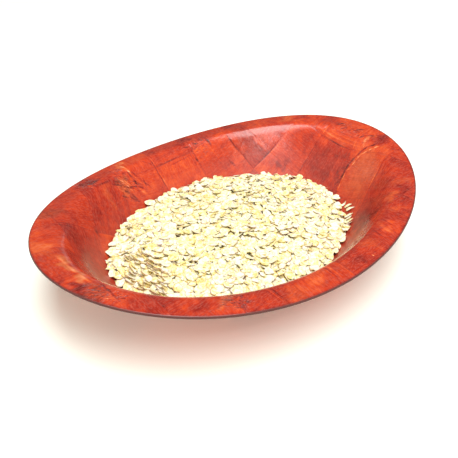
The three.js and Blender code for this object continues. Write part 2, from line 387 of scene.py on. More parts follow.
def makeBowl():
    # the rings closed to one solid, with the maps and values that its material reads
    points, places, ringValues = bowlGrid()
    rows, columns = points.shape[:2]
    allPoints = np.concatenate([points.reshape(-1, 3), [[0, 0, bowl["wall"]], [0, 0, 0]]])
    piece = makeMesh("wovenBowl", allPoints, gridFaces(rows, columns), capFaces(rows, columns))
    through, nearRim, dusty = np.concatenate([np.repeat(ringValues, columns, 1), [[0, 1], [0, 0], [1, 0]]], 1)
    u, v = np.concatenate([places.reshape(-1, 2), [[0, 0], [0, 0]]]).T
    addMap(piece, "overWood", u * mm, v * mm)
    addMap(piece, "strips", *stripPlaces(u, v))

    # outside, the same stains lie turned half round, so that the two faces don't repeat
    side = np.where(through > 0.5, -1.0, 1.0)
    u, v = strayed(u * side, v * side)
    stainAndPaintedReflection, tan, torn = marks["rimStain"] * nearRim, np.zeros_like(u), np.zeros_like(u)
    for *oval, darker, tanner in stainsAndPaintedReflection:
        share = inOval(u, v, oval, *marks["stainFade"])
        stainAndPaintedReflection += darker * share
        tan = np.maximum(tan, tanner * share)
    for oval in tornPlaces:
        torn = np.maximum(torn, inOval(u, v, oval, *marks["tearFade"]))
    values = {"throughWall": through, "dusty": dusty, "stainAndPaintedReflection": stainAndPaintedReflection, "tan": tan, "torn": torn}
    for name in values:
        addValues(piece, name, values[name])
    return piece


bowlPiece = makeBowl()
print("bowl made:", len(bowlPiece.data.polygons), "faces")


heap = {
    "edgeBelowRim": 0.036,  # where the heap meets the wall
    "edgeTilt": 0.004,  # higher on the far side
    "bank": (0.0019, 2.1, 0.7),  # extra rise of the edge, its place round the heap and its spread
    "ripple": 0.0007,
    "dome": 0.008,  # rise of the middle above the edge
    "domePower": 2.6,
    "lump": 0.0011,
    "lumpPower": 6,  # how suddenly the lumps end at the edge
    "gap": 0.00035,  # between the heap and the bowl
    "coreDepth": 0.0052,  # depth of the flakes over the core
    "coreInset": 0.005,  # how much further in the core meets the wall
    "coreGrain": 0.0004,
    "coreColumns": 240,
    "coreFirst": 0.02,  # the innermost ring, as a share of the way out
    "coreRings": (60, 15),  # over the core and under it
    "searchRows": 400,
    "searchTurns": 721,
}


def edgeHeight(turn):
    # the heap's edge round the wall: tilted towards the far side, banked up at one place, with a
    # slow ripple
    ripple = np.sin(5 * turn + 0.8) + 0.6 * np.sin(9 * turn + 2.1)
    rise, middle, spread = heap["bank"]
    bank = rise * np.exp(-((turn - middle) / spread) ** 2)
    return rimHeight - heap["edgeBelowRim"] + heap["edgeTilt"] * np.sin(turn) + heap["ripple"] * ripple + bank


def edgeInward(turn):
    # the distance inward at which the inner wall passes through the heap's edge height
    rows = np.linspace(bowl["floorBegins"], bowl["wallBegins"], heap["searchRows"])
    above = bowlPoint(rows[:, None], turn[None], -heap["gap"])[..., 2] > edgeHeight(turn)[None]
    return rows[np.argmax(above, 0)]


tableTurns = np.linspace(0, 2 * np.pi, heap["searchTurns"])
tableInward = edgeInward(tableTurns)
tableEdge = bowlPoint(tableInward, tableTurns, -heap["gap"])
tableAngle = np.unwrap(np.arctan2(tableEdge[:, 1], tableEdge[:, 0]))
tableReach = np.hypot(tableEdge[:, 0], tableEdge[:, 1])


def lumps(x, y):
    # low lumps: slow and quicker waves in two directions, their lengths in millimetres
    x, y = x / mm, y / mm
    slow = np.sin(x / 17 + 0.6) * np.cos(y / 14 - 0.4)
    quick = np.sin(x / 7.3 - y / 9.1) * np.cos(x / 11 + y / 6.4 + 1.3)
    return heap["lump"] * (0.6 * slow + 0.4 * quick)


def moundHeight(x, y):
    # from the heap's edge straight to its middle, crowned and lumpy; also each point's share of the
    # way out to the edge
    angle = np.arctan2(y, x) % (2 * np.pi)
    share = np.hypot(x, y) / np.interp(angle, tableAngle, tableReach)
    inside = np.clip(share, 0, 1)
    edge = np.interp(angle, tableAngle, tableEdge[:, 2])
    base = rimHeight - heap["edgeBelowRim"]
    crown = heap["dome"] * (1 - inside ** heap["domePower"])
    return base + (edge - base) * inside + crown + lumps(x, y) * (1 - inside ** heap["lumpPower"]), share


def wallHeight(x, y):
    # height of the bowl's inner surface under a point, its ring found by halving
    low, high = np.zeros_like(x), np.full_like(x, bowl["floorBegins"])
    for _ in range(bowl["halvings"]):
        inward = (low + high) / 2
        outside = (x / (bowlHalfLength - inward)) ** 2 + (y / halfWidthAt(inward)) ** 2 > 1
        high = np.where(outside, inward, high)
        low = np.where(outside, low, inward)
    turn = np.arctan2(y / halfWidthAt(low), x / (bowlHalfLength - low))
    return bowlPoint(low, turn)[..., 2]


def makeCore():
    # a closed mound that lies on the bowl's inner surface, lower than the heap by the flakes' depth
    turn = np.linspace(0, 2 * np.pi, heap["coreColumns"], endpoint=False)
    inward = np.interp(turn, tableTurns, tableInward) + heap["coreInset"]
    over, under = heap["coreRings"]
    edge = bowlPoint(inward, turn, -heap["gap"])
    top = np.linspace(heap["coreFirst"], 1, over)[:, None, None] * edge[None]
    x, y = top[..., 0], top[..., 1]
    grain = heap["coreGrain"] * np.sin(x / 0.0013) * np.sin(y / 0.0011 + 2 * np.sin(x / 0.003))
    top[..., 2] = np.maximum(moundHeight(x, y)[0] - heap["coreDepth"] + grain, wallHeight(x, y) + heap["gap"])
    top[-1, :, 2] = edge[:, 2]
    lower = [bowlPoint(inward + (bowl["floorBegins"] - inward) * part, turn, -heap["gap"])
             for part in np.linspace(0, 1, under + 1)[1:]]
    points = np.concatenate([top, lower])
    rows, columns = points.shape[:2]
    middle = moundHeight(np.zeros(1), np.zeros(1))[0][0] - heap["coreDepth"]
    middles = [[0, 0, middle], [0, 0, bowl["wall"] + heap["gap"]]]
    allPoints = np.concatenate([points.reshape(-1, 3), middles])
    return makeMesh("oatCore", allPoints, gridFaces(rows, columns), capFaces(rows, columns))


corePiece = makeCore()
print("heap core made")


# Sizes are half breadths. There are thousands of flakes, so each has few corners.
kinds = {
    "wholeFlakes": {"corners": 10, "size": (0.0030, 0.0042), "stretch": (1, 1.45), "ragged": 0.06,
                    "notches": 0.5, "thickness": (0.00035, 0.00060), "share": 0.64, "most": 2210},
    "brokenFlakes": {"corners": 9, "size": (0.0014, 0.0027), "stretch": (1, 2.4), "ragged": 0.15,
                     "notches": 0.25, "thickness": (0.00030, 0.00050), "share": 0.28, "most": 2700},
    "oatCrumbs": {"corners": 6, "size": (0.0005, 0.0012), "stretch": (1, 2.2), "ragged": 0.22,
                  "notches": 0, "thickness": (0.00028, 0.00048), "share": 0.08, "most": 1600},
}
flakeForm = {
    "rings": ((0.6, 1.0), (1.0, 0.55), (1.0, -0.55), (0.6, -1.0)),  # shares of breadth and of thickness
    "uneven": 0.25,  # spacing of the corners
    "waves": (0.07, 0.06),  # of the outline, twice and three times round
    "wavesBegin": 6.3,  # at random up to this angle
    "notch": (0.55, 0.8),  # how far in a notched corner lies
    "curve": 0.12,  # usual height of cup and bend, as a share of half the breadth
    "cup": (0.3, 0.9),  # their middle and spread, times that
    "bend": (0, 1.1),
    "crease": 0.0002,
    "creaseWidth": 0.0005,
    "rough": 0.00007,
    "sharp": 38,  # degrees above which an edge is sharp
}
laying = {
    "seed": 7,
    "mapStep": 0.0005,
    "mapHalf": (0.122, 0.096),
    "mapFlake": (1.8, 0.0003, 0.4),  # a flake's reach in sizes, half its thickness, its flattest stance
    "within": 0.985,  # flakes are dropped within this share of the way to the heap's edge
    "leastDepth": 0.0006,  # and where the heap is at least so deep
    "lean": 23,  # usual tilt in degrees
    "leanMost": 1.1,  # in radians
    "steepShare": 0.26,  # flakes that come to rest much steeper
    "steepLean": 50,
    "steepSpread": (0.6, 1.3),
    "followMost": 0.8,  # steepest slope of the flakes below that a flake follows
    "sink": (0.00072, 0.30),  # how deep a flake beds into the ones below, and more as it leans
    "trials": 2,
    "candidates": 12,
    "need": 0.0002,  # a place filled to within this of the heap's form takes no more
    "misses": 900,
    "proud": 0.0010,  # how far flakes may stand above the heap's form
    "loose": 480,  # flakes strewn on top at the end, and how much prouder they may stand
    "looseSlack": 0.0012,
    # narrow flakes that point out over the bowl's wall: their two ends in mm
    "spikes": [((89.8, -31.5), (94.4, -37)), ((87, -35), (91.5, -39.5)), ((84.5, -37.7), (89.3, -42.1)),
               ((81.5, -40), (86, -44.5)), ((78.7, -42.2), (82.4, -46.2)), ((75.5, -44.5), (79.5, -48.7)),
               ((72.5, -47.1), (76.9, -50.7)), ((67, -48.5), (71.4, -52.4)), ((91.5, -27.5), (97, -31)),
               ((93, 21.5), (97, 25)), ((87.5, 30), (91.5, 34)), ((82, 36.5), (85, 41.5))],
    "spike": {"corners": 9, "size": (0.0022, 0.0026), "stretch": (2.6, 3.4), "ragged": 0.06,
              "notches": 0, "thickness": (0.00050, 0.00070)},
    "spikeMiddle": 0.35,  # where a spike lies between its two ends
    "spikeSlack": 0.012,  # how much prouder it may stand
    "spikeFollows": 1.4,  # the steepest slope that it follows
    "spikeLean": 0.3,  # its tilt, as a share of the usual one
    # flakes that lie like upturned shingles and show their edges, and the oval in which they lie
    "upturned": (-86, 0, 30, 16, 62),
    "upturnedFade": (0.7, 1.1),
    "shingles": 74,
    "shingleSlope": (-0.80, 0.04),
    "shingleSpread": 0.26,
    "shingleRise": (-0.0002, 0.0003),  # of their middles over the heap's form, and its spread
    "shingleWithin": (0.05, 0.6),  # how well inside the oval each lies, at random between these
    "shingleReach": 0.91,  # none lie further out, as a share of the way to the heap's edge
    # the shingles' brown edges: partly bran, partly painted shade between them
    "shingleBran": (0.8, 1),
    "shingle": {"corners": 10, "size": (0.0026, 0.0036), "stretch": (1, 1.5), "ragged": 0.06,
                "notches": 0.3, "thickness": (0.00040, 0.00062)},
}


def gridIndex(field, x, y):
    # the map's column and row nearest to each place
    step = laying["mapStep"]
    column = np.clip(np.round((x - field["x"][0]) / step).astype(int), 0, len(field["x"]) - 1)
    row = np.clip(np.round((y - field["y"][0]) / step).astype(int), 0, len(field["y"]) - 1)
    return column, row


def emptyField():
    # the top of everything laid so far, on a square grid over the bowl
    step = laying["mapStep"]
    field = {name: np.arange(-half, half + step / 5, step) for name, half in zip("xy", laying["mapHalf"])}
    x, y = np.meshgrid(field["x"], field["y"], indexing="ij")
    field["target"], field["share"] = moundHeight(x, y)
    field["wall"] = wallHeight(x, y) + heap["gap"]
    core = np.where(field["share"] < 1, field["target"] - heap["coreDepth"], 0)
    field["top"] = np.maximum(field["wall"], core)
    field["upturned"] = inOval(x / mm, y / mm, laying["upturned"], *laying["upturnedFade"])
    deep = field["target"] > field["wall"] + laying["leastDepth"]
    field["open"] = np.argwhere((field["share"] < laying["within"]) & deep)
    return field


def flakePoints(random, kind, size):
    # rings from the upper face over the edge to the lower face; the plate is an uneven oval, cupped,
    # bent along its length and creased
    corners = kind["corners"]
    uneven, curve = flakeForm["uneven"], flakeForm["curve"]
    angle = (np.arange(corners) + random.uniform(-uneven, uneven, corners)) / corners * 2 * np.pi
    stretch = math.sqrt(random.uniform(*kind["stretch"]))
    reach = size / np.hypot(np.cos(angle) / stretch, np.sin(angle) * stretch)
    waves = [height * np.sin(times * angle + random.uniform(0, flakeForm["wavesBegin"]))
             for times, height in enumerate(flakeForm["waves"], 2)]
    reach = reach * (1 + sum(waves) + random.normal(0, kind["ragged"], corners))
    if random.random() < kind["notches"]:
        reach[random.integers(corners)] *= random.uniform(*flakeForm["notch"])
    thickness = random.uniform(*kind["thickness"])
    cup = curve * random.normal(*flakeForm["cup"]) * size
    bend = curve * random.normal(*flakeForm["bend"]) * size
    crease = random.uniform(0, flakeForm["crease"])
    rings = []
    for share, face in flakeForm["rings"]:
        x, y = reach * share * np.cos(angle), reach * share * np.sin(angle)
        middle = cup * share ** 2 + bend * (x / size) ** 2
        groove = crease * np.exp(-(y / flakeForm["creaseWidth"]) ** 2) * face
        rough = random.normal(0, flakeForm["rough"], corners)
        rings.append(np.stack([x, y, middle - groove + rough + face * thickness / 2], -1))
    tips = np.array([[0, 0, thickness / 2 - crease], [0, 0, -thickness / 2 + crease]])
    return np.array(rings), tips


def lowerSide(rings, tips):
    # the points with which a flake may touch what lies under it
    return np.concatenate([rings[0], rings[2], tips[1:]])


def turnMatrix(spin, slopeX, slopeY):
    # a spin about Z, then the lean of a plane with the given slopes
    normal = np.array([-slopeX, -slopeY, 1.0])
    normal /= np.linalg.norm(normal)
    along = np.array([math.cos(spin), math.sin(spin), 0.0])
    along -= normal * (along @ normal)
    along /= np.linalg.norm(along)
    return np.stack([along, np.cross(normal, along), normal], -1)


def chooseSpot(random, field):
    # the emptiest of a few places picked at random
    spots = field["open"][random.integers(0, len(field["open"]), laying["candidates"])]
    need = field["target"][spots[:, 0], spots[:, 1]] - field["top"][spots[:, 0], spots[:, 1]]
    best = np.argmax(need)
    return spots[best], need[best]


def settle(field, layer, probes, x, y, matrix):
    # the height at which a leaning flake first touches a layer under it
    laid = probes @ matrix.T
    column, row = gridIndex(field, x + laid[:, 0], y + laid[:, 1])
    return np.max(field[layer][column, row] - laid[:, 2])


def supportSlope(field, probes, x, y, steepest):
    # slopes of the plane that fits what lies under a flake best
    column, row = gridIndex(field, x + probes[:, 0], y + probes[:, 1])
    plane = np.stack([probes[:, 0], probes[:, 1], np.ones(len(probes))], -1)
    fit = np.linalg.lstsq(plane, field["top"][column, row], rcond=None)[0]
    return np.clip(fit[:2], -steepest, steepest)


def raiseMap(field, rings, matrix, place, size):
    # every cell inside the flake's outline takes the height of its upper face
    reach, half, leastUp = laying["mapFlake"]
    ends = [gridIndex(field, *(place[:2] + way * size * reach)) for way in (-1, 1)]
    columns, rows = (slice(first, last + 1) for first, last in zip(*ends))
    dx, dy = np.meshgrid(field["x"][columns] - place[0], field["y"][rows] - place[1], indexing="ij")
    normal = matrix[:, 2]
    dz = -(dx * normal[0] + dy * normal[1]) / normal[2]
    offset = np.stack([dx, dy, dz], -1) @ matrix
    angle = np.arctan2(offset[..., 1], offset[..., 0])
    edgeAngle = np.arctan2(rings[1][:, 1], rings[1][:, 0])
    order = np.argsort(edgeAngle)
    edgeReach = np.hypot(rings[1][:, 0], rings[1][:, 1])
    outline = np.interp(angle, edgeAngle[order], edgeReach[order], period=2 * np.pi)
    covered = np.hypot(offset[..., 0], offset[..., 1]) < outline
    upper = place[2] + dz + half / max(normal[2], leastUp)
    patch = field["top"][columns, rows]
    field["top"][columns, rows] = np.where(covered, np.maximum(patch, upper), patch)


def layFlake(random, field, kind, spot, slack=0.0, steepest=laying["followMost"], heading=None):
    # tries a few leans at a spot and keeps the one that lies lowest; a flake that would stand too
    # proud of the heap's form is given up
    size = random.uniform(*kind["size"])
    rings, tips = flakePoints(random, kind, size)
    x, y = field["x"][spot[0]], field["y"][spot[1]]
    probes = lowerSide(rings, tips)
    slope = supportSlope(field, probes, x, y, steepest)
    steep = random.random() < laying["steepShare"] and not slack
    usual = math.radians(laying["steepLean"] if steep else laying["lean"])
    best = None
    for _ in range(1 if steep else laying["trials"]):
        if steep:
            lean = usual * random.uniform(*laying["steepSpread"])
        else:
            lean = min(abs(random.normal(0, 1)) * usual, laying["leanMost"])
        way, spin = random.uniform(0, 2 * np.pi, 2)
        if heading is not None:
            lean, spin = laying["spikeLean"] * lean, heading
        slopeX, slopeY = slope + math.tan(lean) * np.array([math.cos(way), math.sin(way)])
        matrix = turnMatrix(spin, slopeX, slopeY)
        rest = settle(field, "top", probes, x, y, matrix)
        if best is None or rest < best[0]:
            best = (rest, matrix, lean)
    rest, matrix, lean = best
    sink = laying["sink"][0] + laying["sink"][1] * math.tan(lean) * size
    place = np.array([x, y, max(rest - sink, settle(field, "wall", probes, x, y, matrix))])
    laidRings, laidTips = rings @ matrix.T + place, tips @ matrix.T + place
    over = laidRings[..., 2].max() - field["target"][spot[0], spot[1]]
    if over > laying["proud"] + slack:
        return None
    raiseMap(field, rings, matrix, place, size)
    return laidRings, laidTips, random.random()


def layShingle(random, field):
    # a flake half buried in the ones already laid, its plane almost in line with the view
    upturned = field["upturned"] > random.uniform(*laying["shingleWithin"])
    spots = np.argwhere(upturned & (field["share"] < laying["shingleReach"]))
    spot = spots[random.integers(len(spots))]
    rings, tips = flakePoints(random, laying["shingle"], random.uniform(*laying["shingle"]["size"]))
    slope = np.array(laying["shingleSlope"]) + random.normal(0, laying["shingleSpread"], 2)
    matrix = turnMatrix(random.uniform(0, 2 * np.pi), *slope)
    x, y = field["x"][spot[0]], field["y"][spot[1]]
    height = field["target"][spot[0], spot[1]] + random.normal(*laying["shingleRise"])
    onWall = settle(field, "wall", lowerSide(rings, tips), x, y, matrix)
    place = np.array([x, y, max(height, onWall)])
    return rings @ matrix.T + place, tips @ matrix.T + place, random.uniform(*laying["shingleBran"])


def layHeap():
    # flakes dropped one by one until the heap's form is filled, then the loose ones, the narrow ones
    # over the wall and the shingles
    random = np.random.default_rng(laying["seed"])
    field = emptyField()
    names = list(kinds)
    laid = {name: [] for name in names}
    shares = [kinds[name]["share"] for name in names]
    misses = 0
    while misses < laying["misses"]:
        name = names[random.choice(len(names), p=shares)]
        spot, need = chooseSpot(random, field)
        flake = None
        if need > laying["need"] and len(laid[name]) < kinds[name]["most"]:
            flake = layFlake(random, field, kinds[name], spot)
        if flake is None:
            misses += 1
        else:
            laid[name].append(flake)
    for k in range(laying["loose"]):
        name, spot = names[k % len(names)], chooseSpot(random, field)[0]
        laid[name].append(layFlake(random, field, kinds[name], spot, laying["looseSlack"]))
    for root, tip in np.array(laying["spikes"]):
        spot = gridIndex(field, *((1 - laying["spikeMiddle"]) * root + laying["spikeMiddle"] * tip) * mm)
        heading = math.atan2(tip[1] - root[1], tip[0] - root[0])
        laid["brokenFlakes"].append(layFlake(random, field, laying["spike"], spot, laying["spikeSlack"],
                                             laying["spikeFollows"], heading))
    laid["wholeFlakes"] += [layShingle(random, field) for _ in range(laying["shingles"])]
    laid = {name: [flake for flake in laid[name] if flake is not None] for name in names}
    print("flakes laid:", {name: len(laid[name]) for name in names})
    return laid, random


def makeFlakes(name, placed, random):
    # joins the laid flakes into one mesh; each flake has its own tone and bran, and each point its
    # share of the way out from the flake's middle
    corners, ringCount = kinds[name]["corners"], len(flakeForm["rings"])
    each = ringCount * corners + 2
    rings = np.array([flake[0] for flake in placed]).reshape(len(placed), each - 2, 3)
    points = np.concatenate([rings, np.array([flake[1] for flake in placed])], 1).reshape(-1, 3)
    starts = (np.arange(len(placed)) * each)[:, None, None]
    quads = (gridFaces(ringCount, corners)[None] + starts).reshape(-1, 4)
    triangles = (capFaces(ringCount, corners)[None] + starts).reshape(-1, 3)
    piece = makeMesh(name, points, quads, triangles)
    piece.data.set_sharp_from_angle(angle=math.radians(flakeForm["sharp"]))
    outward = np.append(np.repeat([share for share, _ in flakeForm["rings"]], corners), [0, 0])
    addValues(piece, "outward", np.tile(outward, len(placed)))
    addValues(piece, "tone", np.repeat(random.random(len(placed)), each))
    addValues(piece, "bran", np.repeat([flake[2] for flake in placed], each))
    return piece


laidFlakes, flakeRandom = layHeap()
flakePieces = [makeFlakes(name, laidFlakes[name], flakeRandom) for name in kinds]
print("flakes made:", sum(len(piece.data.polygons) for piece in flakePieces), "faces")


def newTree(material):
    # a new material's nodes and its main shader
    material.use_nodes = True
    tree = material.node_tree
    return tree, tree.nodes["Principled BSDF"]


def feed(tree, socket, value):
    # a socket takes another socket or a plain value
    if isinstance(value, bpy.types.NodeSocket):
        tree.links.new(value, socket)
    else:
        socket.default_value = value


def feedAll(tree, node, values):
    # feeds the inputs that the values are named after
    for name in values:
        feed(tree, node.inputs[name], values[name])


def addNode(tree, kind, *values, output=0, **settings):
    # a node with its settings, its inputs fed in their order; gives one of its outputs
    node = tree.nodes.new("ShaderNode" + kind)
    for name in settings:
        setattr(node, name, settings[name])
    for socket, value in zip(node.inputs, values):
        feed(tree, socket, value)
    return node.outputs[output]


def calc(tree, operation, *values, clamp=False):
    # one step of arithmetic with numbers
    return addNode(tree, "Math", *values, operation=operation, use_clamp=clamp)


def calcVector(tree, operation, *values, output=0):
    # one step of arithmetic with vectors
    return addNode(tree, "VectorMath", *values, operation=operation, output=output)


def passing(tree, value, start, factor):
    # how far a value is past a start, times a factor, held between 0 and 1
    return calc(tree, "MULTIPLY", calc(tree, "SUBTRACT", value, start), factor, clamp=True)


def swayed(tree, base, value, amount):
    # a base moved by how far another value lies from its middle, times an amount
    return calc(tree, "MULTIPLY_ADD", calc(tree, "SUBTRACT", value, 0.5), amount, base)


def addUp(tree, base, values, amounts):
    # a base plus each named value times the amount of that name
    for name in values:
        base = calc(tree, "MULTIPLY_ADD", values[name], amounts[name], base)
    return base


def rescale(tree, value, *ends):
    # the range between the first two ends becomes the one between the last two
    return addNode(tree, "MapRange", value, *ends)


def noise(tree, place, scale, detail, roughness, distortion, output="Fac"):
    # smooth noise over places
    node = tree.nodes.new("ShaderNodeTexNoise")
    feedAll(tree, node, {"Vector": place, "Scale": scale, "Detail": detail, "Roughness": roughness,
                         "Distortion": distortion})
    return node.outputs[output]


def colours(tree, value, stops):
    # a ramp of colours, each stop a place and a colour
    node = tree.nodes.new("ShaderNodeValToRGB")
    elements = node.color_ramp.elements
    elements.remove(elements[1])
    elements[0].position, elements[0].color = stops[0][0], (*stops[0][1], 1)
    for place, colour in stops[1:]:
        elements.new(place).color = (*colour, 1)
    feed(tree, node.inputs[0], value)
    return node.outputs[0]


def mixColours(tree, share, first, second):
    # from the first colour to the second by a share; a plain colour has three numbers
    node = tree.nodes.new("ShaderNodeMix")
    node.data_type = "RGBA"
    node.clamp_factor = True
    feed(tree, node.inputs[0], share)
    for socket, colour in ((node.inputs[6], first), (node.inputs[7], second)):
        feed(tree, socket, (*colour, 1) if isinstance(colour, tuple) else colour)
    return node.outputs[2]


def attribute(tree, name):
    # a value stored with the mesh's points
    return addNode(tree, "Attribute", output="Fac", attribute_name=name)


def uvMap(tree, name):
    # a place from one of the mesh's maps
    return addNode(tree, "UVMap", uv_map=name)


def split(tree, vector):
    # a vector's three numbers
    node = tree.nodes.new("ShaderNodeSeparateXYZ")
    feed(tree, node.inputs[0], vector)
    return node.outputs


def join(tree, *values):
    # a vector from its numbers
    return addNode(tree, "CombineXYZ", *values)


def scaled(tree, values, factors):
    # a vector from numbers, each times its factor
    return join(tree, *(calc(tree, "MULTIPLY", value, factor) for value, factor in zip(values, factors)))


def bumped(tree, shader, height, strength, distance):
    # the shader's normals follow a height
    node = tree.nodes.new("ShaderNodeBump")
    feedAll(tree, node, {"Strength": strength, "Distance": distance, "Height": height})
    feed(tree, shader.inputs["Normal"], node.outputs[0])


def spindle(tree, place, start, end, width):
    # 1 on the middle of a line between two places, fading to 0 over its width and towards its tips
    reach, rise = (end[0] - start[0]) * mm, (end[1] - start[1]) * mm
    middle = (start[0] * mm + reach / 2, start[1] * mm + rise / 2, 0)
    size = (math.hypot(reach, rise) * wood["lineLength"], width * mm, 1)
    turn = (0, 0, math.atan2(rise, reach))
    local = addNode(tree, "Mapping", place, middle, turn, size, vector_type="TEXTURE")
    return addNode(tree, "TexGradient", local, output="Fac", gradient_type="SPHERICAL")


# Lines in the wood, among them painted highlights and a painted shadow, in millimetres over it: half width,
# how much darker or lighter, then points.
cutsAndPaintedLight = [
    (0.8, -0.3, (-11, 117), (-8.6, 105), (-4.6, 86)), (0.7, 0.16, (-9.6, 117), (-7.2, 105), (-3.2, 86)),
    (0.6, -0.22, (-8, 108), (26, 108.4)), (0.5, -0.18, (4, 104.6), (37, 104.2)),
    (0.6, -0.2, (-21, 116), (-15, 113.5), (-10, 109)), (1.1, 0.14, (-40, 109), (-32, 101), (-25, 93)),
    (0.6, -0.24, (-38, 110.5), (-30, 102.5), (-20.5, 92)), (1.3, -0.42, (-46, 92), (-39, 85)),
    (1.2, -0.22, (-61, 103.5), (-53, 101.5)), (1.4, -0.34, (-52, 95), (-46, 93)),
    (1.2, 0.28, (-43, 112.5), (-36, 108)), (0.7, -0.34, (-45, 97.5), (-36, 97), (-29, 93.5)),
    (0.8, -0.28, (-57, 91), (-49, 89)), (1.4, -0.34, (57.5, 111), (59, 100)),
    (1.4, -0.28, (36.5, 100.5), (38, 95.5)), (0.9, -0.3, (30, 112.5), (38, 110.5)),
    (1.4, -0.24, (66, 81), (68, 73)), (0.6, -0.14, (37.5, 106), (38.8, 82)),
    (0.6, 0.14, (56, 105), (60, 76)), (0.7, -0.26, (79, 102), (79, 77)),
    (3.0, 0.1, (82.6, 114), (82.6, 74)), (2.0, 0.26, (100, 82), (101.6, 62)),
    (0.6, -0.18, (84, 61.9), (125, 58.8)), (0.6, 0.14, (84, 60.4), (125, 57.4)),
    (0.6, -0.22, (97, 28.6), (144, 28.3)), (0.8, 0.16, (144, 28), (158, 26.4)),
    (0.8, -0.26, (144.4, 28), (144.6, -9)), (0.7, 0.18, (148.4, 46), (148.8, -20)),
    (0.6, 0.16, (151.6, 30), (151.8, -18)), (0.5, -0.14, (154.5, 24), (154.8, -16)),
    (1.0, -0.32, (159, 22.5), (167, 15.5)), (1.1, -0.36, (160, 1), (168, -7)),
    # painted highlight: the last line here, pale along the ply's ragged end; painted shadow, partly glue: the
    # dark line after it, just beyond that end
    (0.9, -0.3, (155, -8), (162, -17)), (0.7, -0.24, (157, 13), (164, 7)), (0.9, 0.34, *plyEnd[1:10]),
    (1.1, -0.44, (117, -11.6), (127, -12), (133, -13.4), (140, -16.9), (146, -20.6),
     (150.8, -25.4), (153.5, -32)),
    (0.9, 0.18, (108, -51), (133, -51.4)), (1.0, -0.4, (160, -16), (164, -21)),
    (0.8, -0.3, (-155, -24), (-154.6, -55)), (0.6, 0.2, (-72, -97), (-70.4, -120)),
    (0.6, -0.22, (-69.6, -97), (-68, -120)), (0.6, -0.24, (-21, -110), (-20.4, -129)),
    (0.6, 0.16, (-18.6, -110), (-18, -129)), (0.6, 0.24, (-168, -30), (-158, -36)),
    (0.6, 0.26, (-166, -36), (-156, -43)), (0.6, 0.2, (-163, -44), (-155, -49)),
    (1.6, -0.26, (-99, 64), (-96, 58)), (0.7, -0.12, (-150, 57.5), (-120, 56.5)),
    (1.2, 0.28, (-41.7, 122.3), (-38.7, 107.7)), (1.5, -0.22, (-80.9, 103.2), (-66.6, 111.4)),
    (1.1, -0.26, (-80, 100), (-61, 104.7)), (0.9, -0.38, (-41.4, 111), (-38.2, 104), (-35.5, 98.4)),
    (1.8, 0.26, (-36.5, 97.2), (-26.7, 87.1)), (0.9, -0.34, (-63.9, 100.7), (-52, 99), (-40.1, 95.4)),
    (1.0, -0.36, (-47.7, 90.4), (-42.3, 84.7)), (0.8, 0.24, (-56, 106), (-47, 100), (-42, 92)),
    (0.6, -0.22, (-27.1, 103.8), (-25.8, 93.2)), (0.7, 0.2, (-60, 97), (-50, 93)),
    # painted highlight: the next line, pale along the bend at the left end
    (1.3, 0.26, (-161.4, 16), (-161.2, 1.2), (-160.5, -11.6), (-159, -28)),
    (1.0, 0.6, (19.4, -128.6), (20.6, -128.2)), (0.6, -0.2, (44, -124), (46, -108)),
    (0.6, -0.18, (61, -122), (64, -104)),
]

